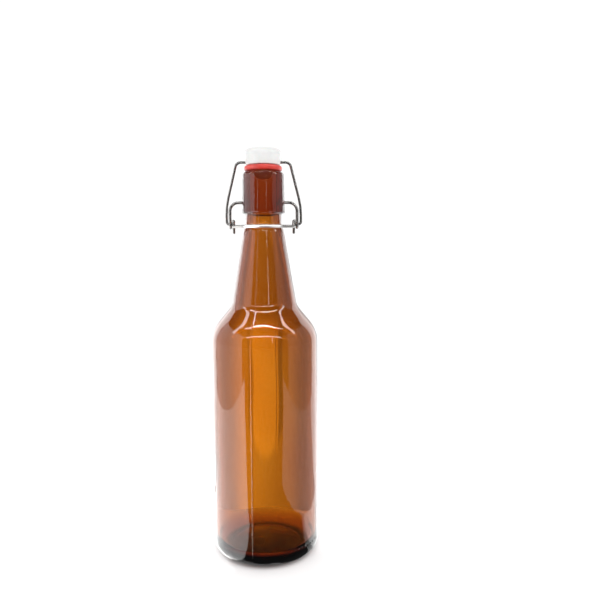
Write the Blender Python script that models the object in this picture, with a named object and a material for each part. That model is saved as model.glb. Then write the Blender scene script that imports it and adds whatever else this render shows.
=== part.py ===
"""A half-litre amber glass bottle with a wire swing top, closed.

+Z is up and the origin is at the middle of the base. The thumb bar of the lever is at the front, at -Y.
Lengths are in metres. Five pieces: the glass, the stopper, its gasket, the bail that pulls the stopper down,
and the lever that tightens the bail past its dead centre.
"""

import math

import bmesh
import bpy
from mathutils import Vector

MM = 0.001
AROUND = 32  # facets round a turned piece, a multiple of 4 so that its box is even
GAP = 0.3 * MM  # room between pieces that touch

# The glass, outside
BODY_R = 35.0 * MM
HEEL_R = 8.5 * MM
BEARING_R = 23.0 * MM  # inner edge of the ring it stands on
PUSH_UP = 5.0 * MM
SHOULDER = (35.0 * MM, 148.6 * MM)  # where the wall's line meets the shoulder's line
SHOULDER_R = 22.0 * MM
NECK_FOOT = (21.4 * MM, 165.0 * MM)
NECK_FOOT_R = 12.0 * MM
CONE_TOP = (13.1 * MM, 213.8 * MM)
CONE_TOP_R = 6.0 * MM
GROOVE_R = 11.65 * MM
GROOVE_FOOT_Z = 218.4 * MM
GROOVE_FOOT_R = 4.0 * MM
GROOVE_TOP_R = 0.9 * MM
COLLAR_FOOT = (13.97 * MM, 225.0 * MM)
COLLAR_FOOT_R = 1.3 * MM
RIM = (13.4 * MM, 251.9 * MM)
RIM_R = 2.4 * MM

# The glass, inside
MOUTH_R = 8.4 * MM
MOUTH_EDGE_R = 1.3 * MM
BORE_FOOT_Z = 221.8 * MM
BORE_FOOT_R = 20.0 * MM
INNER_NECK_FOOT = (18.3 * MM, 163.9 * MM)
INNER_NECK_FOOT_R = 14.0 * MM
INNER_SHOULDER = (32.0 * MM, 147.4 * MM)
INNER_SHOULDER_R = 20.0 * MM
FLOOR_Z = 5.0 * MM
INNER_HEEL_R = 9.0 * MM

# The linkage: axes along X, as (y, z)
PIVOT = (0.0, 232.2 * MM)  # the lever turns in the glass
KNUCKLE = (2.0 * MM, 218.2 * MM)  # the bail turns in the lever, just behind dead centre
TRUNNION = (0.0, 258.0 * MM)  # the stopper turns on the bail

# The wires
BAIL_WIRE_R = 0.9 * MM
LEVER_WIRE_R = 1.0 * MM
DIMPLE_R = 1.6 * MM
DIMPLE_DEPTH = 2.7 * MM
DIMPLE_WALL_R = COLLAR_FOOT[0] - 0.1 * MM  # the collar's radius at the pivot
CUTTER_OVER = 2.0 * MM  # how far a cutter stands out of what it cuts
LEG_X = 24.4 * MM  # the bail's legs, at the knuckle
BAIL_CORNER_X = 17.4 * MM
BAIL_CORNER_R = 3.5 * MM
BAIL_KNEE_Z = 229.8 * MM
BAIL_KNEE_R = 45.0 * MM
BAIL_FOOT_R = 1.7 * MM  # where the leg turns in to the eye
TAIL_X = 19.7 * MM
TAIL_BEND_R = 1.3 * MM
TAIL_END_Z = 212.0 * MM
LEVER_X = 21.9 * MM  # the lever's legs
EYE_R = BAIL_WIRE_R + GAP + LEVER_WIRE_R
EYE_SHIFT = 2.3 * MM  # how far inwards the wire leaves the eye
EYE_POINTS = 18
EYE_SHIFT_FROM = math.radians(370)
EYE_SHIFT_TO = math.radians(490)
BAR_R = 13.6 * MM  # the thumb bar, round the neck
BAR_Z = 216.5 * MM
BAR_HUG = math.radians(30)  # each way from the middle
BAR_STEPS = 4
SIDE_RUN_Z = 216.6 * MM
ELBOW_R = 4.0 * MM  # between the bar and the side run
SIDE_RUN_END_R = 2.0 * MM
PIVOT_BEND_R = 5.5 * MM

# The stopper and its gasket
STOPPER_TOP_Z = 266.9 * MM
STOPPER_R = 12.55 * MM
CROWN_R = 6.5 * MM  # the flat of the top
CROWN_DROP = 0.7 * MM
CROWN_ROUND = 20.0 * MM
HEAD_ROUND = 4.0 * MM
WAIST_Z = 261.9 * MM
WAIST_ROUND = 8.0 * MM
FLANGE = (10.9 * MM, 256.1 * MM)
FLANGE_ROUND = 0.4 * MM
STEM_R = 5.4 * MM
LIP_R = 6.5 * MM
LIP_DEPTH = 1.6 * MM
LIP_ROUND = 1.2 * MM
LIP_EDGE = 0.3 * MM
NOSE_R = 4.0 * MM
NOSE_Z = 247.4 * MM
NOSE_ROUND = 0.8 * MM
GASKET_R = 12.4 * MM
GASKET_ROUND = 1.55 * MM
BORE_R = BAIL_WIRE_R + GAP

STEP = math.radians(18)  # most turn between two points of a curve


def fillet(before, corner, after, radius, step=STEP):
    """Points of the arc that rounds a corner, from the side of before to the side of after."""
    back = (before - corner).normalized()
    ahead = (after - corner).normalized()
    turn = math.pi - back.angle(ahead)
    if radius == 0 or turn < 1e-6:
        return [corner]
    reach = radius * math.tan(turn / 2)
    start = corner + back * reach
    centre = corner + (back + ahead).normalized() * radius / math.cos(turn / 2)
    out = start - centre
    along = -back
    count = max(2, math.ceil(turn / step))
    angles = [turn * i / count for i in range(count + 1)]
    return [centre + out * math.cos(a) + along * radius * math.sin(a) for a in angles]


def rounded(corners, step=STEP):
    """A line through corners, each given as (point, radius), with its corners rounded."""
    points = [Vector(corners[0][0])]
    for (before, _), (corner, radius), (after, _) in zip(corners, corners[1:], corners[2:]):
        points += fillet(Vector(before), Vector(corner), Vector(after), radius, step)
    points.append(Vector(corners[-1][0]))
    return points


def dome(rim_r, rim_z, rise, count=5):
    """A shallow dome from its middle to its rim, as (r, z), leaving out the rim itself."""
    ball_r = (rim_r**2 + rise**2) / (2 * rise)
    spread = math.asin(rim_r / ball_r)
    base = rim_z + rise - ball_r
    angles = [spread * i / count for i in range(count)]
    return [Vector((ball_r * math.sin(a), base + ball_r * math.cos(a))) for a in angles]


def material(name, colour, roughness, metallic=0.0, transmission=0.0):
    made = bpy.data.materials.new(name)
    made.use_nodes = True
    shader = made.node_tree.nodes["Principled BSDF"]
    shader.inputs["Base Color"].default_value = (*colour, 1.0)
    shader.inputs["Roughness"].default_value = roughness
    shader.inputs["Metallic"].default_value = metallic
    shader.inputs["Transmission Weight"].default_value = transmission
    return made


def place(name, data, finish):
    made = bpy.data.objects.new(name, data)
    data.materials.append(finish)
    bpy.context.scene.collection.objects.link(made)
    return made


def turned(name, profile, finish):
    """A solid turned about Z from its half section, a list of (r, z)."""
    shape = bmesh.new()
    points = [shape.verts.new((r, 0.0, z)) for r, z in profile]
    edges = [shape.edges.new(pair) for pair in zip(points, points[1:])]
    if profile[0][0] > 0:  # a ring's section closes on itself
        edges.append(shape.edges.new((points[-1], points[0])))
    whole = {"cent": (0, 0, 0), "axis": (0, 0, 1), "angle": math.tau, "steps": AROUND, "use_merge": True}
    bmesh.ops.spin(shape, geom=points + edges, **whole)
    bmesh.ops.remove_doubles(shape, verts=shape.verts, dist=1e-6)
    bmesh.ops.recalc_face_normals(shape, faces=shape.faces)
    mesh = bpy.data.meshes.new(name)
    shape.to_mesh(mesh)
    shape.free()
    mesh.shade_smooth()
    mesh.set_sharp_from_angle(angle=math.radians(40))
    return place(name, mesh, finish)


def rod(name, start, end, radius, sides=16):
    """A straight round rod between two points, as a cutter."""
    along = Vector(end) - Vector(start)
    shape = bmesh.new()
    turn = along.to_track_quat("Z", "Y").to_matrix().to_4x4()
    turn.translation = (Vector(start) + Vector(end)) / 2
    bmesh.ops.create_cone(
        shape, cap_ends=True, segments=sides, radius1=radius, radius2=radius, depth=along.length, matrix=turn
    )
    mesh = bpy.data.meshes.new(name)
    shape.to_mesh(mesh)
    shape.free()
    made = bpy.data.objects.new(name, mesh)
    made.hide_render = True
    made.display_type = "WIRE"
    bpy.context.scene.collection.objects.link(made)
    return made


def cut(target, cutter):
    step = target.modifiers.new(cutter.name, "BOOLEAN")
    step.operation = "DIFFERENCE"
    step.object = cutter


def wire(name, half, radius, finish):
    """A bent wire, the same on both sides of X = 0, from the centre line of its +X half."""
    other = [Vector((-p.x, p.y, p.z)) for p in reversed(half[1:])]
    points = other + half
    curve = bpy.data.curves.new(name, "CURVE")
    curve.dimensions = "3D"
    curve.twist_mode = "MINIMUM"
    curve.bevel_depth = radius
    curve.bevel_resolution = 3
    curve.use_fill_caps = True
    spline = curve.splines.new("POLY")
    spline.points.add(len(points) - 1)
    for target, point in zip(spline.points, points):
        target.co = (*point, 1.0)
    return place(name, curve, finish)


def bottle_section():
    """The glass's half section, from the push-up under the base, up the outside and down the inside."""
    floor_rim = INNER_SHOULDER[0] - INNER_HEEL_R - GAP
    outside = [
        ((BEARING_R, 0.0), 0),
        ((BODY_R, 0.0), HEEL_R),
        (SHOULDER, SHOULDER_R),
        (NECK_FOOT, NECK_FOOT_R),
        (CONE_TOP, CONE_TOP_R),
        ((GROOVE_R, GROOVE_FOOT_Z), GROOVE_FOOT_R),
        ((GROOVE_R, COLLAR_FOOT[1]), GROOVE_TOP_R),
        (COLLAR_FOOT, COLLAR_FOOT_R),
        (RIM, RIM_R),
    ]
    inside = [
        ((MOUTH_R, RIM[1]), MOUTH_EDGE_R),
        ((MOUTH_R, BORE_FOOT_Z), BORE_FOOT_R),
        (INNER_NECK_FOOT, INNER_NECK_FOOT_R),
        (INNER_SHOULDER, INNER_SHOULDER_R),
        ((INNER_SHOULDER[0], FLOOR_Z), INNER_HEEL_R),
        ((floor_rim, FLOOR_Z), 0),
    ]
    inner_dome = dome(floor_rim, FLOOR_Z, PUSH_UP)
    return dome(BEARING_R, 0.0, PUSH_UP) + rounded(outside + inside) + inner_dome[::-1]


def make_bottle(finish):
    bottle = turned("bottle", bottle_section(), finish)
    for side, name in ((1, "dimple_right"), (-1, "dimple_left")):
        inner = (side * (DIMPLE_WALL_R - DIMPLE_DEPTH), *PIVOT)
        outer = (side * (DIMPLE_WALL_R + CUTTER_OVER), *PIVOT)
        cut(bottle, rod(name, inner, outer, DIMPLE_R))


def make_stopper(finish):
    """A mushroom head over a stem, with a lip under the gasket and a bore for the bail."""
    lip_z = RIM[1]
    section = [
        ((0.0, NOSE_Z), 0),
        ((NOSE_R, NOSE_Z), NOSE_ROUND),
        ((LIP_R, lip_z - LIP_DEPTH), LIP_ROUND),
        ((LIP_R, lip_z), LIP_EDGE),
        ((STEM_R, lip_z), 0),
        ((STEM_R, FLANGE[1]), 0),
        (FLANGE, FLANGE_ROUND),
        ((STOPPER_R, WAIST_Z), WAIST_ROUND),
        ((STOPPER_R, STOPPER_TOP_Z - CROWN_DROP), HEAD_ROUND),
        ((CROWN_R, STOPPER_TOP_Z), CROWN_ROUND),
        ((0.0, STOPPER_TOP_Z), 0),
    ]
    stopper = turned("stopper", rounded(section), finish)
    reach = STOPPER_R + CUTTER_OVER
    cut(stopper, rod("bail_bore", (-reach, *TRUNNION), (reach, *TRUNNION), BORE_R, sides=20))


def make_gasket(finish):
    """A thick washer with a round edge, between the stopper's flange and the rim."""
    low, high = RIM[1] + GAP, FLANGE[1] - GAP
    hole_r = STEM_R + GAP
    middle_z = (low + high) / 2
    section = [
        ((hole_r, middle_z), 0),
        ((hole_r, low), 0),
        ((GASKET_R, low), GASKET_ROUND),
        ((GASKET_R, high), GASKET_ROUND),
        ((hole_r, high), 0),
    ]
    points = rounded(section + [((hole_r, middle_z), 0)])
    turned("gasket", points[:-1], finish)


def make_bail(finish):
    """Through the stopper, down both sides, in through the lever's eyes, and down to a tail."""
    drop = TRUNNION[1] - KNUCKLE[1]

    def lean(x, z):
        return (x, KNUCKLE[0] * min(1.0, (TRUNNION[1] - z) / drop), z)

    half = [
        (lean(0.0, TRUNNION[1]), 0),
        (lean(BAIL_CORNER_X, TRUNNION[1]), BAIL_CORNER_R),
        (lean(LEG_X, BAIL_KNEE_Z), BAIL_KNEE_R),
        (lean(LEG_X, KNUCKLE[1]), BAIL_FOOT_R),
        (lean(TAIL_X, KNUCKLE[1]), TAIL_BEND_R),
        (lean(TAIL_X, TAIL_END_Z), 0),
    ]
    wire("bail", rounded(half), BAIL_WIRE_R, finish)


def eye(x):
    """One turn round the knuckle, from the front and down, moving inwards over the top of the turn."""
    points = []
    for i in range(EYE_POINTS + 1):
        angle = math.pi + math.tau * i / EYE_POINTS
        t = (angle - EYE_SHIFT_FROM) / (EYE_SHIFT_TO - EYE_SHIFT_FROM)
        t = min(1.0, max(0.0, t))
        inwards = EYE_SHIFT * t * t * (3 - 2 * t)
        y = KNUCKLE[0] + EYE_R * math.cos(angle)
        z = KNUCKLE[1] + EYE_R * math.sin(angle)
        points.append(Vector((x - inwards, y, z)))
    return points


def make_lever(finish):
    """A thumb bar in front of the neck, an eye at each side for the bail, and tips turned into the glass."""
    front_y = KNUCKLE[0] - EYE_R
    inner_x = LEVER_X - EYE_SHIFT
    turns = [BAR_HUG * i / BAR_STEPS for i in range(BAR_STEPS + 1)]
    hug = [Vector((BAR_R * math.sin(a), -BAR_R * math.cos(a), BAR_Z)) for a in turns]
    end = hug[-1]
    run = inner_x - end.x
    elbow = (inner_x, end.y + run * math.tan(BAR_HUG), SIDE_RUN_Z)
    sides = [
        (end, 0),
        (elbow, ELBOW_R),
        ((inner_x, front_y, SIDE_RUN_Z), SIDE_RUN_END_R),
        ((inner_x, front_y, KNUCKLE[1]), 0),
    ]
    arm = [
        ((LEVER_X, front_y, KNUCKLE[1]), 0),
        ((LEVER_X, *PIVOT), PIVOT_BEND_R),
        ((DIMPLE_WALL_R - DIMPLE_DEPTH + 2 * GAP, *PIVOT), 0),
    ]
    loop = eye(LEVER_X)[::-1]
    half = hug + rounded(sides)[1:] + loop[1:-1] + rounded(arm)
    wire("lever", half, LEVER_WIRE_R, finish)


def main():
    for old in list(bpy.data.objects):
        bpy.data.objects.remove(old)
    amber = material("amber_glass", (0.55, 0.2, 0.03), 0.02, transmission=1.0)
    white = material("white_plastic", (0.9, 0.9, 0.89), 0.3)
    red = material("red_rubber", (0.7, 0.03, 0.02), 0.5)
    steel = material("steel_wire", (0.6, 0.6, 0.6), 0.25, metallic=1.0)
    make_bottle(amber)
    make_stopper(white)
    make_gasket(red)
    make_bail(steel)
    make_lever(steel)


main()
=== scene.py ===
import math

import bmesh
import bpy
import numpy as np
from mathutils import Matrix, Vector


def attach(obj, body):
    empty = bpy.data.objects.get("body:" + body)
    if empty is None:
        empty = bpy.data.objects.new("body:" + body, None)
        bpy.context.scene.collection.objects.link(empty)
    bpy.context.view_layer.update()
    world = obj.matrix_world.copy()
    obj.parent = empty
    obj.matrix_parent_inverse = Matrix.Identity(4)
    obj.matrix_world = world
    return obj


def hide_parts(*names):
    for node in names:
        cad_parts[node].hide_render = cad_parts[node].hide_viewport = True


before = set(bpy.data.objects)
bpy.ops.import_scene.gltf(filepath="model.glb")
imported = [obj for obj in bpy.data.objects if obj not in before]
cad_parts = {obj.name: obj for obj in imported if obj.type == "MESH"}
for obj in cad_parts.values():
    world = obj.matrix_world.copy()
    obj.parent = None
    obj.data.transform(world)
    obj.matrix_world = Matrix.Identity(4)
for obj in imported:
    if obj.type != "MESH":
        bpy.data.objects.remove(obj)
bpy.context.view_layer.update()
mm = 0.001  # the pieces' own sizes below are in millimetres, and the studio's in metres
print("frame loaded:", len(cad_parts), "nodes")


class Sock:
    # wraps an output socket, so that maths on values is written as an expression
    def __init__(self, tree, socket):
        self.tree, self.socket = tree, socket

    def math(self, operation, *others):
        return self.tree.node("ShaderNodeMath", {"operation": operation}, dict(enumerate((self, *others))))

    def __add__(self, other):
        return self.math("ADD", other)

    def __sub__(self, other):
        return self.math("SUBTRACT", other)

    def __mul__(self, other):
        return self.math("MULTIPLY", other)

    __radd__, __rmul__ = __add__, __mul__

    def __rsub__(self, other):
        return (self * -1.0) + other

    def smooth(self, low, high):
        links = {"Value": self, "From Min": low, "From Max": high}
        return self.tree.node("ShaderNodeMapRange", {"interpolation_type": "SMOOTHSTEP"}, links)


class NodeTree:
    # the nodes of a material or a world
    def __init__(self, owner):
        owner.use_nodes = True
        self.nodes = owner.node_tree.nodes
        self.links = owner.node_tree.links

    def feed(self, node, values):
        for key, value in values.items():
            socket = node.inputs[key]
            if isinstance(value, Sock):
                self.links.new(value.socket, socket)
            else:
                socket.default_value = value

    def node(self, kind, settings=None, values=None, out=0):
        made = self.nodes.new(kind)
        for key, value in (settings or {}).items():
            setattr(made, key, value)
        self.feed(made, values or {})
        return Sock(self, made.outputs[out])

    def place(self, kind="Object"):
        return self.node("ShaderNodeTexCoord", out=kind)

    def axis(self, name):
        return self.node("ShaderNodeSeparateXYZ", values={"Vector": self.place()}, out=name)

    def noise(self, scale, detail, stretch=(1, 1, 1), space="Object"):
        stretched = self.node("ShaderNodeMapping", values={"Vector": self.place(space), "Scale": stretch})
        return self.node("ShaderNodeTexNoise", values={"Vector": stretched, "Scale": scale, "Detail": detail})

    def mix(self, factor, first, second):
        values = {0: factor, 6: first, 7: second}
        return self.node("ShaderNodeMix", {"data_type": "RGBA"}, values, out=2)

    def grey(self, level):
        return self.node("ShaderNodeCombineColor", values={"Red": level, "Green": level, "Blue": level})

    def bump(self, height, depth):
        return self.node("ShaderNodeBump", values={"Height": height, "Distance": depth})


class Finish(NodeTree):
    # a material with one Principled shader, whose fixed sockets are set from a dictionary
    def __init__(self, name, fixed):
        self.material = bpy.data.materials.new(name)
        super().__init__(self.material)
        self.shader = self.nodes["Principled BSDF"]
        self.feed(self.shader, fixed)

    def use(self, **sockets):
        self.feed(self.shader, {key.replace("_", " "): value for key, value in sockets.items()})
        return self.material


def amberGlassFinish():
    # clear glass whose inside takes light away evenly, with a faint orange peel and a film of handling
    look = {
        "tint": (0.84, 0.625, 0.04, 1.0), "density": 960.0,  # absorbed in each metre
        "peelScale": 55.0, "peelDepth": 0.00003,
        "filmScale": 28.0, "filmFrom": 0.45, "filmTo": 0.75, "clean": 0.005, "filmed": 0.02,
    }
    fixed = {"Base Color": (1.0, 1.0, 1.0, 1.0), "Transmission Weight": 1.0, "IOR": 1.52}
    finish = Finish("amberGlass", fixed)
    peel = finish.noise(look["peelScale"], 1.0)
    film = finish.noise(look["filmScale"], 3.0).smooth(look["filmFrom"], look["filmTo"])
    absorbed = {"Color": look["tint"], "Density": look["density"]}
    inside = finish.node("ShaderNodeVolumeAbsorption", values=absorbed)
    finish.feed(finish.nodes["Material Output"], {"Volume": inside})
    rough = look["clean"] + look["filmed"] * film
    return finish.use(Roughness=rough, Normal=finish.bump(peel, look["peelDepth"]))


def whitePlasticFinish():
    # slightly cloudy white, with a fine grain and level scuffs that are rougher
    look = {
        "bright": (0.8, 0.8, 0.795, 1.0), "dull": (0.74, 0.74, 0.73, 1.0),
        "cloudScale": 120.0, "grainScale": 900.0, "grainDepth": 0.00002,
        "scuffScale": 260.0, "smoothest": 0.17, "clouded": 0.1, "scuffed": 0.18,
    }
    finish = Finish("whitePlastic", {"IOR": 1.35, "Subsurface Weight": 0.1, "Subsurface Scale": 0.002})
    cloud = finish.noise(look["cloudScale"], 3.0)
    grain = finish.noise(look["grainScale"], 2.0)
    scuff = finish.noise(look["scuffScale"], 4.0, (1, 1, 4)).smooth(0.58, 0.8)
    colour = finish.mix(cloud.smooth(0.35, 0.8), look["bright"], look["dull"])
    rough = look["smoothest"] + look["clouded"] * cloud + look["scuffed"] * scuff
    return finish.use(Base_Color=colour, Roughness=rough, Normal=finish.bump(grain, look["grainDepth"]))


def redRubberFinish():
    # satin red with deeper clouds, a pale bloom in specks and a fine grain
    look = {
        "red": (0.7, 0.03, 0.016, 1.0), "deep": (0.56, 0.018, 0.011, 1.0), "bloom": (0.74, 0.1, 0.07, 1.0),
        "cloudScale": 160.0, "grainScale": 2200.0, "grainDepth": 0.00003,
        "bloomScale": 420.0, "bloomShare": 0.35, "smoothest": 0.3, "clouded": 0.15, "bloomed": 0.2,
    }
    finish = Finish("redRubber", {"IOR": 1.5, "Sheen Weight": 0.12, "Sheen Roughness": 0.4})
    cloud = finish.noise(look["cloudScale"], 4.0)
    grain = finish.noise(look["grainScale"], 3.0)
    bloom = finish.noise(look["bloomScale"], 5.0).smooth(0.55, 0.85)
    colour = finish.mix(cloud.smooth(0.3, 0.75), look["red"], look["deep"])
    colour = finish.mix(bloom * look["bloomShare"], colour, look["bloom"])
    rough = look["smoothest"] + look["clouded"] * cloud + look["bloomed"] * bloom
    return finish.use(Base_Color=colour, Roughness=rough, Normal=finish.bump(grain, look["grainDepth"]))


def steelWireFinish():
    # drawn wire with die lines and dark stains, and a painted highlight that colours the thumb bar near white
    # where it crosses the front
    look = {
        "steel": (0.34, 0.33, 0.32, 1.0), "dark": (0.14, 0.13, 0.13, 1.0), "bright": (0.95, 0.93, 0.93, 1.0),
        "paintedHighlightX": (0.0125, 0.0155), "paintedHighlightY": (-0.011, -0.009),  # metres, where the painted highlight on the bar ends
        "linesAlong": 60.0, "linesRound": 2600.0, "lineDepth": 0.00002, "lineShare": 0.3,
        "stainScale": 190.0, "stainShare": 0.6,
        "smoothest": 0.16, "lined": 0.14, "stained": 0.16, "paintedHighlightRougher": 0.15,
    }
    finish = Finish("steelWire", {"Metallic": 1.0})
    lines = finish.noise(1.0, 3.0, (look["linesAlong"], look["linesRound"], 1.0), "UV")
    stain = finish.noise(look["stainScale"], 4.0).smooth(0.5, 0.8)
    # painted highlight: a mask of the middle of the bar's front, where the colour is mixed to near white and
    # made rougher
    middle = 1.0 - finish.axis("X").math("ABSOLUTE").smooth(*look["paintedHighlightX"])
    paintedHighlightMask = middle * (1.0 - finish.axis("Y").smooth(*look["paintedHighlightY"]))
    worn = look["stainShare"] * stain + look["lineShare"] * lines
    colour = finish.mix(worn, look["steel"], look["dark"])
    # painted highlight: the bar's front is mixed to the bright colour in place of a reflection of light
    colour = finish.mix(paintedHighlightMask, colour, look["bright"])
    rough = look["smoothest"] + look["lined"] * lines + look["stained"] * stain + look["paintedHighlightRougher"] * paintedHighlightMask
    return finish.use(Base_Color=colour, Roughness=rough, Normal=finish.bump(lines, look["lineDepth"]))


def floorFinish():
    # pale, with a painted glow of light that lessens further away, and a painted shadow, dark and without
    # glow, under the bottle
    look = {
        # under is the colour of the painted shadow beneath the bottle
        "pale": (0.93, 0.93, 0.93, 1.0), "greyer": (0.91, 0.91, 0.91, 1.0), "under": (0.02, 0.019, 0.019, 1.0),
        "paintedShadowEdge": (0.025, 0.034), "glowNear": 0.24, "glowAway": 0.14, "glowFade": (0.1, 0.5),
    }
    finish = Finish("paleFloor", {"Roughness": 0.55, "Specular IOR Level": 0.2, "Emission Strength": 1.0})
    far = finish.node("ShaderNodeVectorMath", {"operation": "LENGTH"}, {0: finish.place()}, out=1)
    # painted shadow: lit is 0 under the bottle, where the floor is coloured dark and does not glow
    lit = far.smooth(*look["paintedShadowEdge"])
    change = look["glowAway"] - look["glowNear"]
    # painted pool of light: the floor glows more near the bottle than further away
    glow = lit * (look["glowNear"] + change * far.smooth(*look["glowFade"]))
    colour = finish.mix(finish.noise(3.0, 2.0), look["pale"], look["greyer"])
    colour = finish.mix(lit, look["under"], colour)
    return finish.use(Base_Color=colour, Emission_Color=finish.grey(glow))


def cardFinish(level):
    # black, with one even light
    light = {"Emission Color": (1, 1, 1, 1), "Emission Strength": level}
    return Finish("card", {"Base Color": (0, 0, 0, 1), "Specular IOR Level": 0.0, **light}).material


def backCardFinish():
    # a painted wash of light that fades from left to right, upwards and outwards. In it is a column of painted
    # light, brighter in the middle and darker at its sides, whose foot is a parabola. At its edges the card
    # fades into the room
    fixed = {"Base Color": (0, 0, 0, 1), "Specular IOR Level": 0.0, "Emission Strength": 1.0}
    finish = Finish("backCard", fixed)
    c = studio["backCard"]
    x, z = finish.axis("X") - c["at"][0], finish.axis("Z")
    side = x.math("ABSOLUTE")
    high = z.smooth(*c["head"])
    wash = c["left"] + (c["right"] - c["left"]) * x.smooth(*c["across"])
    wash = wash * (1.0 - c["higher"] * high) * (1.0 - c["outer"] * side.smooth(*c["outerFade"]))
    tall = (z - c["curl"] * side * side).smooth(*c["foot"]) * (1.0 - high)
    column = side.smooth(*c["columnFade"])
    band = column * (1.0 - side.smooth(*c["bandFade"]))
    glow = wash + (c["column"] * (1.0 - column) - c["band"] * band) * tall
    inside = (1.0 - side.smooth(*c["edgeFade"])) * (1.0 - z.smooth(*c["topFade"]))
    return finish.use(Emission_Color=finish.grey(studio["room"] + (glow - studio["room"]) * inside))


def gridMesh(name, points, finish, ring=False, uv=None):
    # a mesh of quads between neighbouring points, which are rows by columns by xyz. Columns join round, and
    # with ring the rows do too. A row whose points are in one place is a pole. uv is the distance along of
    # each row, and the distance round of each column with the first one again at the end
    rows, cols = points.shape[:2]
    index = np.arange(rows * cols).reshape(rows, cols)
    low = index if ring else index[:-1]
    high = np.roll(index, -1, axis=0) if ring else index[1:]
    quads = np.stack([low, np.roll(low, -1, 1), np.roll(high, -1, 1), high], axis=-1).reshape(-1, 4)
    made = bpy.data.meshes.new(name)
    made.from_pydata(points.reshape(-1, 3).tolist(), [], quads.tolist())
    if uv is not None:
        pair = np.stack(np.meshgrid(*uv, indexing="ij"), axis=-1)
        corners = np.stack([pair[:-1, :-1], pair[:-1, 1:], pair[1:, 1:], pair[1:, :-1]], axis=2)
        made.uv_layers.new(name="wire").data.foreach_set("uv", corners.astype(np.float32).ravel())
    shape = bmesh.new()
    shape.from_mesh(made)
    bmesh.ops.remove_doubles(shape, verts=shape.verts, dist=1e-7)
    bmesh.ops.recalc_face_normals(shape, faces=shape.faces)
    shape.to_mesh(made)
    shape.free()
    made.polygons.foreach_set("use_smooth", np.ones(len(made.polygons), bool))
    made.materials.append(finish)
    thing = bpy.data.objects.new(name, made)
    bpy.context.scene.collection.objects.link(thing)
    return thing


def unit(vector):
    return vector / np.linalg.norm(vector)


def arc(before, corner, after, radius, turn):
    # points of the arc that rounds a corner, about turn radians apart: from its centre, the way to its first
    # point times the cosine, and the way onwards times the sine
    back, ahead = unit(before - corner), unit(after - corner)
    bend = math.pi - math.acos(np.clip(back @ ahead, -1, 1))
    if radius == 0 or bend < 1e-6:
        return corner[None]
    centre = corner + unit(back + ahead) * radius / math.cos(bend / 2)
    first = corner + back * radius * math.tan(bend / 2)
    angle = np.linspace(0, bend, max(3, math.ceil(bend / turn)))[:, None]
    return centre + (first - centre) * np.cos(angle) - back * radius * np.sin(angle)


def roundedLine(corners, turn=math.radians(6)):
    # a line through corners, each a place and the radius that rounds it
    places = [np.array(place, float) for place, _ in corners]
    radii = [radius for _, radius in corners[1:-1]]
    rounded = [arc(*three, radius, turn) for *three, radius in zip(places, places[1:], places[2:], radii)]
    return np.concatenate([places[:1], *rounded, places[-1:]])


def evenly(line, spacing):
    # the same line with points added, so that none are further apart than spacing, and how far along each is
    reach = np.concatenate([[0], np.cumsum(np.linalg.norm(np.diff(line, axis=0), axis=1))])
    counts = np.maximum(2, np.ceil(np.diff(reach) / spacing).astype(int) + 1)
    parts = [np.linspace(a, b, count)[:-1] for a, b, count in zip(reach, reach[1:], counts)]
    at = np.concatenate([*parts, reach[-1:]])
    return np.stack([np.interp(at, reach, line[:, k]) for k in range(line.shape[1])], axis=-1), at


def turned(line, angles):
    # each (r, z) of the line carried round Z: r times the cosine, r times the sine, and z
    r, z = line[:, :1], line[:, 1:]
    return np.stack([r * np.cos(angles), r * np.sin(angles), z + 0 * angles], axis=-1)


def normals(points, ring):
    # at each point, the cross product of the steps to its neighbours along and round, for a turned surface
    around = np.roll(points, -1, 1) - np.roll(points, 1, 1)
    along = np.roll(points, -1, 0) - np.roll(points, 1, 0)
    if not ring:
        along[0], along[-1] = points[1] - points[0], points[-1] - points[-2]
    cross = np.cross(around, along)
    size = np.linalg.norm(cross, axis=-1, keepdims=True)
    return cross / np.where(size > 1e-15, size, 1)


def dome(rimR, rimZ, rise, count=24):
    # half the section of a ball's cap, from its middle and without its rim. The ball's radius is the squares
    # of the rim's radius and of the rise, added and divided by twice the rise
    ballR = (rimR**2 + rise**2) / (2 * rise)
    angle = np.linspace(0, math.asin(rimR / ballR), count, endpoint=False)
    return np.stack([ballR * np.sin(angle), rimZ + rise - ballR + ballR * np.cos(angle)], axis=-1)


def ease(t):
    # 3 t squared minus 2 t cubed, with t held between 0 and 1
    t = np.clip(t, 0, 1)
    return t * t * (3 - 2 * t)


def hump(distance, width):
    # 1 at no distance, falling smoothly to 0 at width
    return ease(1 - np.abs(distance) / width)


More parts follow.
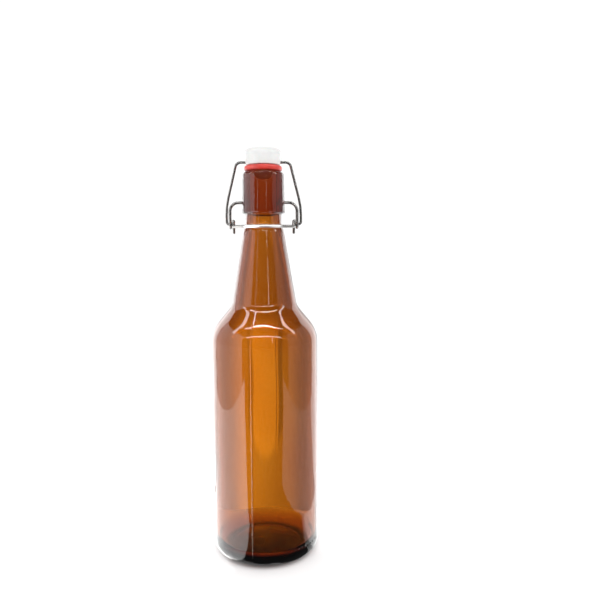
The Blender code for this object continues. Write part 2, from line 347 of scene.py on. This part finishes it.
glass = {  # a pair is a corner's radius from the axis and its height, and Round is what rounds the corner
    "bodyR": 35.0, "heelRound": 8.5, "bearingR": 23.0, "pushUp": 5.0,
    "shoulder": (35.0, 148.6), "shoulderRound": 22.0,
    "neckFoot": (21.4, 165.0), "neckFootRound": 12.0,
    "coneTop": (13.1, 213.8), "coneTopRound": 6.0,
    "grooveR": 11.65, "grooveFootZ": 218.4, "grooveFootRound": 4.0, "grooveTopRound": 0.9,
    "collarFoot": (13.97, 225.0), "collarFootRound": 1.3,
    "rim": (13.4, 251.9), "rimRound": 2.4, "mouthR": 8.4, "mouthRound": 1.3,
    "boreFootZ": 221.8, "boreFootRound": 20.0,
    "innerNeckFoot": (18.3, 163.9), "innerNeckFootRound": 14.0,
    "innerShoulder": (32.0, 147.4), "innerShoulderRound": 20.0,
    "innerHeelRound": 9.0, "floorZ": 5.0, "floorEdge": 0.3,
    "seamAt": -101.0, "seamProud": 0.2, "seamWidth": 0.7,  # degrees from +X, and mm
    "dotsFrom": -66.0, "dotsTo": -18.0, "dotPitch": 4.8, "dotR": 0.8, "dotProud": 0.4, "dotsZ": 10.6,
    "dimpleZ": 232.2, "dimpleR": 1.95, "dimpleFlat": 1.35, "dimpleDeep": 2.75,
    "waveOut": 0.035, "waveIn": 0.12, "waveFrom": 12.0, "waveTo": 140.0,
    "rowStep": 2.2, "dimpleStep": 0.22, "dotStep": 0.2,  # mm between rows
    "columnStep": 2.5, "dotColumnStep": 0.35, "leastStep": 0.12,  # degrees between columns
}


def glassSection():
    # half the section: under the base, up the outside, over the rim, down the inside and across the floor
    g = glass
    innerR = g["innerShoulder"][0]
    floorR = innerR - g["innerHeelRound"] - g["floorEdge"]
    walls = roundedLine([
        ((g["bearingR"], 0.0), 0),
        ((g["bodyR"], 0.0), g["heelRound"]),
        (g["shoulder"], g["shoulderRound"]),
        (g["neckFoot"], g["neckFootRound"]),
        (g["coneTop"], g["coneTopRound"]),
        ((g["grooveR"], g["grooveFootZ"]), g["grooveFootRound"]),
        ((g["grooveR"], g["collarFoot"][1]), g["grooveTopRound"]),
        (g["collarFoot"], g["collarFootRound"]),
        (g["rim"], g["rimRound"]),
        ((g["mouthR"], g["rim"][1]), g["mouthRound"]),
        ((g["mouthR"], g["boreFootZ"]), g["boreFootRound"]),
        (g["innerNeckFoot"], g["innerNeckFootRound"]),
        (g["innerShoulder"], g["innerShoulderRound"]),
        ((innerR, g["floorZ"]), g["innerHeelRound"]),
        ((floorR, g["floorZ"]), 0),
    ])
    under, over = dome(g["bearingR"], 0.0, g["pushUp"]), dome(floorR, g["floorZ"], g["pushUp"])
    return np.concatenate([under, walls, over[::-1]])


def glassRows(line):
    # the section's rows, closer together where the dimples and the dots are
    g = glass
    line, _ = evenly(line, g["rowStep"])
    r, z = line.T
    nearDimple = (np.abs(z - g["dimpleZ"]) < 3.2) & (r > 13)
    nearDots = (np.abs(z - g["dotsZ"]) < 1.6) & (r > g["innerShoulder"][0] - 0.5)
    step = np.full(len(line) - 1, 2 * g["rowStep"])  # wider than any row, which adds none
    step[nearDots[:-1] | nearDots[1:]] = g["dotStep"]
    step[nearDimple[:-1] | nearDimple[1:]] = g["dimpleStep"]
    pieces = []
    for start, end, gap in zip(line, line[1:], step):
        count = max(1, math.ceil(np.linalg.norm(end - start) / gap))
        pieces.append(start + (end - start) * np.linspace(0, 1, count, endpoint=False)[:, None])
    return np.concatenate([*pieces, line[-1:]])


def glassAngles():
    # the angles of the columns, closer together at the seams, the dimples and the dots
    g = glass
    seams = [g["seamAt"] + turn + np.linspace(-2.2, 2.2, 19) for turn in (0, 180)]
    dimples = [side + np.linspace(-9, 9, 41) for side in (0, 180)]
    dots = np.arange(g["dotsFrom"] - 2, g["dotsTo"] + 2, g["dotColumnStep"])
    every = np.concatenate([np.arange(-180, 180, g["columnStep"]), *seams, *dimples, dots])
    every = np.unique(np.round((every + 180) % 360 - 180, 2))
    return np.radians(every[np.diff(every, append=every[0] + 360) > g["leastStep"]])


def glassWaves(r, z, angles, outer, inner):
    # the sum of three sines of the angle and the height, small outside and larger inside, where it dies out
    # towards the floor and the mouth
    g = glass
    slow, middle = np.sin(2 * angles + z / 31), np.sin(3 * angles - z / 17 + 1.3)
    wave = slow + 0.7 * middle + 0.5 * np.sin(5 * angles + z / 9 + 4)
    straight = (z > g["waveFrom"]) & (z < g["waveTo"])
    inside = g["waveIn"] * wave * inner * np.clip(z / g["waveFrom"], 0, 1) * np.clip(r / 20, 0.2, 1)
    return inside - g["waveOut"] * (wave + 2.2) * outer * straight


def glassSeams(r, z, angles, outer):
    # a hump along each of two opposite seams, lower above the body
    g = glass
    turn = np.angle(np.exp(2j * (angles - np.radians(g["seamAt"])))) / 2  # from the nearer seam
    across = r * np.abs(turn)
    proud = g["seamProud"] * np.where(z < g["waveTo"], 1.0, 0.7)
    return proud * hump(across, g["seamWidth"]) * (outer & (z < g["rim"][1] - 5))


def glassDots(r, z, angles, outer):
    # a row of round humps, evenly spaced by the angle
    g = glass
    dotAngle = np.degrees(angles) - g["dotsFrom"]
    offPitch = (dotAngle + g["dotPitch"] / 2) % g["dotPitch"] - g["dotPitch"] / 2
    inRow = (dotAngle > -1) & (dotAngle < g["dotsTo"] - g["dotsFrom"] + 1)
    away = np.hypot(r * np.radians(offPitch), z - g["dotsZ"])
    return g["dotProud"] * hump(away, g["dotR"]) * (outer & inRow & (r > 30))


def sinkDimples(points, z, outer):
    # two round pits in the collar, flat in the middle, that go straight in along X
    g = glass
    away = np.hypot(points[..., 1], z - g["dimpleZ"])
    pit = hump(np.clip(away - g["dimpleFlat"], 0, None), g["dimpleR"] - g["dimpleFlat"])
    onCollar = outer & (np.abs(z - g["dimpleZ"]) < 4)
    points[..., 0] -= g["dimpleDeep"] * pit * onCollar * np.sign(points[..., 0])


def makeBottle():
    # the section turned about Z and moved along its normals: by waves, seams and dots. The dimples come last
    line = glassRows(glassSection())
    angles = glassAngles()
    points = turned(line, angles)
    r, z = line[:, :1], line[:, 1:]
    rimZ = glass["rim"][1]
    rim = np.argmax(line[:, 1] > rimZ - 0.01)
    row = np.arange(len(line))[:, None]
    outer = (row <= rim) & (z > 0.6) & (r > 1)
    inner = (row > rim) & (z < rimZ - 6)
    move = glassWaves(r, z, angles, outer, inner) + glassSeams(r, z, angles, outer)
    move = move + glassDots(r, z, angles, outer)
    points = points + normals(points, False) * move[..., None]
    sinkDimples(points, z, outer)
    bottle = gridMesh("glassBottle", points * mm, amberGlassFinish())
    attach(bottle, "bottle")
    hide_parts("bottle")
    print("glass:", len(bottle.data.polygons), "faces")


stopperSizes = {
    "topZ": 266.9, "crownR": 6.5, "crownDrop": 0.7, "crownRound": 20.0,
    "headR": 12.55, "headRound": 4.0, "waistZ": 261.9, "waistRound": 8.0,
    "flange": (10.9, 256.1), "flangeRound": 0.4, "stemR": 5.4,
    "lipR": 6.5, "lipTall": 1.6, "lipRounds": (1.2, 0.3), "noseR": 4.0, "noseZ": 247.4, "noseRound": 0.8,
    "boreR": 1.2, "boreZ": 258.0, "partingZ": 263.0, "partingProud": 0.05, "partingTall": 0.45,
    "rowStep": 0.5, "columns": 128,
}


def cutAway(thing, cutter):
    # takes the cutter's shape out of the piece, and removes the cutter
    step = thing.modifiers.new("cut", "BOOLEAN")
    step.operation, step.object = "DIFFERENCE", cutter
    done = thing.evaluated_get(bpy.context.evaluated_depsgraph_get())
    thing.data = bpy.data.meshes.new_from_object(done)
    thing.modifiers.clear()
    bpy.data.objects.remove(cutter)
    thing.data.set_sharp_from_angle(angle=math.radians(40))


def boreGrid():
    # a closed cylinder along X, longer than the stopper is wide: two circles, each with its middle as a pole
    s = stopperSizes
    turn = np.linspace(0, math.tau, 40, endpoint=False)
    reach = s["headR"] + 2
    ends = [(-reach, 0.0), (-reach, s["boreR"]), (reach, s["boreR"]), (reach, 0.0)]
    return np.array([
        np.stack([x + 0 * turn, r * np.cos(turn), s["boreZ"] + r * np.sin(turn)], axis=-1) for x, r in ends
    ])


def makeStopper():
    # a section turned about Z, with a faint parting line round it, bored across for the bail
    s = stopperSizes
    rimZ = glass["rim"][1]
    line = roundedLine([
        ((0.0, s["noseZ"]), 0),
        ((s["noseR"], s["noseZ"]), s["noseRound"]),
        ((s["lipR"], rimZ - s["lipTall"]), s["lipRounds"][0]),
        ((s["lipR"], rimZ), s["lipRounds"][1]),
        ((s["stemR"], rimZ), 0),
        ((s["stemR"], s["flange"][1]), 0),
        (s["flange"], s["flangeRound"]),
        ((s["headR"], s["waistZ"]), s["waistRound"]),
        ((s["headR"], s["topZ"] - s["crownDrop"]), s["headRound"]),
        ((s["crownR"], s["topZ"]), s["crownRound"]),
        ((0.0, s["topZ"]), 0),
    ])
    line, _ = evenly(line, s["rowStep"])
    points = turned(line, np.linspace(0, math.tau, s["columns"], endpoint=False))
    onHead = line[:, :1] > 10
    proud = s["partingProud"] * hump(points[..., 2] - s["partingZ"], s["partingTall"]) * onHead
    points = points + normals(points, False) * proud[..., None]
    finish = whitePlasticFinish()
    stopper = gridMesh("stopperHead", points * mm, finish)
    cutAway(stopper, gridMesh("bore", boreGrid() * mm, finish))
    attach(stopper, "stopper")
    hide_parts("stopper")
    print("stopper:", len(stopper.data.polygons), "faces")


gasketSizes = {
    "gap": 0.3, "outerR": 12.4, "edgeRound": 1.55, "holeRound": 0.25,
    "flashProud": 0.08, "flashTall": 0.3, "wave": 0.05, "rowStep": 0.25, "columns": 144,
}


def makeGasket():
    # a washer's section turned about Z. Its edge is half round, has a thin line of flash along the middle and
    # waves in and out by the sum of two sines of the angle
    g, s = gasketSizes, stopperSizes
    low, high = glass["rim"][1] + g["gap"], s["flange"][1] - g["gap"]
    holeR, middleZ = s["stemR"] + g["gap"], (low + high) / 2
    line = roundedLine([
        ((holeR, middleZ), 0),
        ((holeR, low), g["holeRound"]),
        ((g["outerR"], low), g["edgeRound"]),
        ((g["outerR"], high), g["edgeRound"]),
        ((holeR, high), g["holeRound"]),
        ((holeR, middleZ), 0),
    ])
    line, _ = evenly(line[:-1], g["rowStep"])
    angles = np.linspace(0, math.tau, g["columns"], endpoint=False)
    points = turned(line, angles)
    r = line[:, :1]
    flash = g["flashProud"] * hump(points[..., 2] - middleZ, g["flashTall"]) * (r > g["outerR"] - 0.6)
    wave = g["wave"] * (np.sin(3 * angles) + 0.6 * np.sin(7 * angles + 2) - 1.6) * (r > 11)
    points = points + normals(points, True) * (flash + wave)[..., None]
    gasket = gridMesh("gasketRing", points * mm, redRubberFinish(), ring=True)
    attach(gasket, "stopper")
    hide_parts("gasket")
    print("gasket:", len(gasket.data.polygons), "faces")


wires = {
    "bailR": 0.9, "leverR": 1.0, "gap": 0.3, "step": 0.45, "endLength": 0.5, "endShrink": 0.45,
    "pivot": (0.0, 232.2), "knuckle": (2.0, 218.2), "trunnion": (0.0, 258.0),  # y and z of the hinges' axes
    "cornerX": 17.4, "cornerRound": 3.5, "legX": 24.4, "kneeZ": 229.8, "kneeRound": 45.0, "footRound": 1.7,
    "tailX": 19.7, "tailRound": 1.3, "tailEndZ": 212.0,
    "leverX": 21.9, "eyeShift": 2.3, "shiftFrom": 370.0, "shiftTo": 490.0,  # degrees of the eye's turn
    "barR": 13.6, "barZ": 216.5, "hug": 30.0, "sideRunZ": 216.6, "elbowRound": 4.0, "riseRound": 2.0,
    "tipRound": 5.5, "tipX": 11.77,
}


def bailLine():
    # half of the bail: across the stopper, down outside the collar, in through the lever's eye and down.
    # It leans back evenly from the stopper to the eye
    w = wires
    drop = w["trunnion"][1] - w["knuckle"][1]

    def lean(x, z):
        return (x, w["knuckle"][0] * min(1.0, (w["trunnion"][1] - z) / drop), z)

    return roundedLine([
        (lean(0.0, w["trunnion"][1]), 0),
        (lean(w["cornerX"], w["trunnion"][1]), w["cornerRound"]),
        (lean(w["legX"], w["kneeZ"]), w["kneeRound"]),
        (lean(w["legX"], w["knuckle"][1]), w["footRound"]),
        (lean(w["tailX"], w["knuckle"][1]), w["tailRound"]),
        (lean(w["tailX"], w["tailEndZ"]), 0),
    ])


def leverLine():
    # half of the lever: round the front of the neck, back to an eye, one turn of it that moves out by the
    # eye's shift, up the leg and into the glass
    w = wires
    eyeR = w["bailR"] + w["gap"] + w["leverR"]
    frontY, innerX = w["knuckle"][0] - eyeR, w["leverX"] - w["eyeShift"]
    hug = math.radians(w["hug"])
    turn = np.linspace(0, hug, 16)
    bar = np.stack([w["barR"] * np.sin(turn), -w["barR"] * np.cos(turn), 0 * turn + w["barZ"]], axis=-1)
    elbow = (innerX, bar[-1, 1] + (innerX - bar[-1, 0]) * math.tan(hug), w["sideRunZ"])
    side = roundedLine([
        (bar[-1], 0),
        (elbow, w["elbowRound"]),
        ((innerX, frontY, w["sideRunZ"]), w["riseRound"]),
        ((innerX, frontY, w["knuckle"][1]), 0),
    ])
    angle = np.linspace(math.pi + math.tau, math.pi, 60)
    t = (np.degrees(angle) - w["shiftFrom"]) / (w["shiftTo"] - w["shiftFrom"])
    eye = np.stack([
        w["leverX"] - w["eyeShift"] * ease(t),
        w["knuckle"][0] + eyeR * np.cos(angle),
        w["knuckle"][1] + eyeR * np.sin(angle),
    ], axis=-1)
    leg = roundedLine([
        ((w["leverX"], frontY, w["knuckle"][1]), 0),
        ((w["leverX"], *w["pivot"]), w["tipRound"]),
        ((w["tipX"], *w["pivot"]), 0),
    ])
    return np.concatenate([bar[:-1], side[:-1], eye[:-1], leg])


def makeWire(name, body, half, radius, around=28):
    # a circle carried along the line and its mirror image. Its frame turns as little as each bend needs, and
    # its radius shrinks at both ends
    w = wires
    line, along = evenly(np.concatenate([half[:0:-1] * [-1, 1, 1], half]), w["step"])
    step = np.gradient(line, axis=0)
    ahead = step / np.linalg.norm(step, axis=1, keepdims=True)
    side = np.cross(ahead[0], (0.3, 1.0, 0.1))  # any way across the first step
    sides = []
    for direction in ahead:
        side = unit(side - direction * (side @ direction))
        sides.append(side)
    sides = np.array(sides)
    across = np.cross(ahead, sides)
    fromEnd = np.minimum(along, along[-1] - along)
    size = radius * (1 - w["endShrink"] * np.clip(1 - fromEnd / w["endLength"], 0, 1) ** 2.5)
    turn = np.linspace(0, math.tau, around, endpoint=False)
    circle = sides[:, None] * np.cos(turn)[:, None] + across[:, None] * np.sin(turn)[:, None]
    points = line[:, None] + circle * size[:, None, None]
    ends = [np.repeat(line[[i]], around, 0)[None] for i in (0, -1)]
    points = np.concatenate([ends[0], points, ends[1]])
    along = np.concatenate([along[:1], along, along[-1:]])
    uv = (along * mm, np.linspace(0, radius * math.tau * mm, around + 1))
    wire = gridMesh(name, points * mm, steelWireFinish(), uv=uv)
    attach(wire, body)
    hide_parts(body)
    print(name, "length", round(float(along[-1])), "mm")


studio = {
    "camera": (0.0237, -0.396, 0.2), "tilt": 5.0, "roll": 0.3, "lens": 36.0, "shiftY": 0.0075,
    "room": 1.06, "floorSize": 60.0,
    "softTop": ((0.1, -0.5, 1.1), (0, 0, 0.2), 0.8, 0.6),  # place, what it faces, size, radiance
    "backCard": {  # its place and size, where its light fades, and how bright its parts are
        "at": (-0.0033, 0.056, 0.125), "size": (0.2, 0.31), "across": (-0.02, 0.02),
        "foot": (0.036, 0.05), "head": (0.135, 0.16), "curl": 110.0, "columnFade": (0.0095, 0.0115),
        "bandFade": (0.0135, 0.015), "outerFade": (0.018, 0.034), "band": 0.35,
        "left": 1.5, "right": 0.95, "higher": 0.3, "column": 0.55, "outer": 0.42,
        "edgeFade": (0.036, 0.07), "topFade": (0.2, 0.27),
    },
    "cards": {  # place, what it faces, size and radiance. They show in reflections
        "frontFlag": ((0, -0.5, 0.5), (0, 0, 0.5), (1.0, 1.0), 0.1),
        "leftFlag": ((-0.41, -0.1, 0.5), (0, -0.1, 0.5), (0.8, 1.0), 0.1),
        "rightFlag": ((0.41, -0.1, 0.5), (0, -0.1, 0.5), (0.8, 1.0), 0.1),
        "topFlag": ((0, -0.1, 0.95), (0, -0.1, 0), (0.82, 0.8), 0.1),
        "leftBox": ((-0.4, -0.09, 0.22), (0, -0.09, 0.22), (0.62, 0.44), 1.8),
        "rightBox": ((0.4, 0.0, 0.22), (0, 0.0, 0.22), (0.62, 0.44), 0.7),
        "leftStrip": ((-0.35, -0.083, 0.45), (0, 0, 0.22), (0.05, 0.36), 8.0),
        "rightStrip": ((0.35, -0.083, 0.45), (0, 0, 0.22), (0.05, 0.36), 9.0),
        "leftEdge": ((-0.3, 0.32, 0.2), (0, 0, 0.2), (0.25, 0.5), 3.0),
        "rightEdge": ((0.3, 0.32, 0.2), (0, 0, 0.2), (0.25, 0.5), 2.6),
        "topStrip": ((0, -0.25, 0.75), (0, 0, 0.2), (2.2, 0.03), 25.0),
        "lowStrip": ((0, -0.48, 0.47), (0, 0, 0.2), (1.4, 0.03), 12.0),
        "frontLeft": ((-0.25, -0.48, 0.34), (0, 0, 0.24), (0.014, 0.17), 9.0),
        "frontRight": ((0.17, -0.49, 0.335), (0, 0, 0.24), (0.014, 0.17), 8.0),
    },
    "alsoThroughGlass": ("leftStrip", "rightStrip", "topStrip", "lowStrip", "frontLeft", "frontRight"),
    "floorCards": {  # radiance, and corners on the floor. They only show in reflections
        "floorFlag": (0.08, [
            (-0.017, -0.034), (0.008, -0.0345), (0.031, -0.016), (0.095, -0.03), (0.095, -0.14),
            (0.42, -0.5), (-0.42, -0.5), (-0.046, -0.088),
        ]),
        "floorLeft": (3.4, [
            (-0.035, 0.06), (-0.4, 0.2), (-0.4, -0.475), (-0.045, -0.085), (-0.018, -0.032), (-0.034, 0.0),
        ]),
        "floorRight": (1.1, [(0.1, 0.06), (0.4, 0.2), (0.4, -0.475), (0.1, -0.14)]),
        "floorBackLeft": (2.8, [(-0.067, 0.111), (-0.106, 0.075), (-0.45, 0.21), (-0.22, 0.45)]),
        "floorBackRight": (2.5, [
            (0.034, -0.008), (0.097, -0.022), (0.099, 0.055), (0.106, 0.075), (0.45, 0.21), (0.22, 0.45),
            (0.05, 0.12),
        ]),
    },
    "cardLift": 0.0005,  # above the floor
}


def makeSheet(name, corners, finish, only=None):
    # a flat sheet that every kind of ray sees, or only one kind
    mesh = bpy.data.meshes.new(name)
    mesh.from_pydata(corners, [], [tuple(range(len(corners)))])
    mesh.materials.append(finish)
    sheet = bpy.data.objects.new(name, mesh)
    bpy.context.scene.collection.objects.link(sheet)
    if only:
        for kind in ("camera", "diffuse", "glossy", "transmission", "volume_scatter", "shadow"):
            setattr(sheet, "visible_" + kind, kind == only)
    return sheet


def upright(wide, tall):
    # the corners of a sheet that faces along its own Z
    x, y = wide / 2, tall / 2
    return [(-x, -y, 0), (x, -y, 0), (x, y, 0), (-x, y, 0)]


def aim(thing, at, towards):
    # puts a thing in its place with its own -Z towards another
    thing.location = at
    thing.rotation_euler = (Vector(towards) - Vector(at)).to_track_quat("-Z", "Y").to_euler()


def makeBackCard():
    # a card behind the bottle that is only seen through the glass
    c = studio["backCard"]
    x, y, z = c["at"]
    corners = [(x + across, y, z + up) for across, up, _ in upright(*c["size"])]
    makeSheet("backCard", corners, backCardFinish(), only="transmission")


def makeSoftTop():
    # a soft lamp that lights the matt surfaces. Its power is its radiance times pi times its area
    at, towards, size, radiance = studio["softTop"]
    lamp = bpy.data.lights.new("softTop", "AREA")
    lamp.size = size
    lamp.energy = radiance * math.pi * size * size
    thing = bpy.data.objects.new("softTop", lamp)
    aim(thing, at, towards)
    thing.visible_camera = thing.visible_glossy = thing.visible_transmission = False
    bpy.context.scene.collection.objects.link(thing)


def makeRoom():
    room = bpy.data.worlds.new("paleRoom")
    tree = NodeTree(room)
    tree.feed(tree.nodes["Background"], {"Color": (1, 1, 1, 1), "Strength": studio["room"]})
    bpy.context.scene.world = room


def makeStudio():
    s = studio
    bpy.context.scene.view_settings.view_transform = "Standard"
    makeRoom()
    makeSheet("floor", upright(s["floorSize"], s["floorSize"]), floorFinish())
    makeBackCard()
    makeSoftTop()
    for name, (at, towards, size, level) in s["cards"].items():
        card = makeSheet(name, upright(*size), cardFinish(level), only="glossy")
        card.visible_transmission = name in s["alsoThroughGlass"]
        aim(card, at, towards)
    for name, (level, corners) in s["floorCards"].items():
        makeSheet(name, [(x, y, s["cardLift"]) for x, y in corners], cardFinish(level), only="glossy")
    makeCamera()
    print("studio done")


def makeCamera():
    s = studio
    scene = bpy.context.scene
    camera = bpy.data.objects.new("camera", bpy.data.cameras.new("camera"))
    camera.data.lens = s["lens"]
    camera.data.shift_y = s["shiftY"]
    camera.data.clip_start = 0.01
    camera.location = s["camera"]
    camera.rotation_euler = (math.radians(90 - s["tilt"]), math.radians(s["roll"]), 0)
    scene.collection.objects.link(camera)
    scene.camera = camera


makeStudio()
makeBottle()
makeStopper()
makeGasket()
makeWire("bailWire", "bail", bailLine(), wires["bailR"])
makeWire("leverWire", "lever", leverLine(), wires["leverR"])
print("all pieces made")
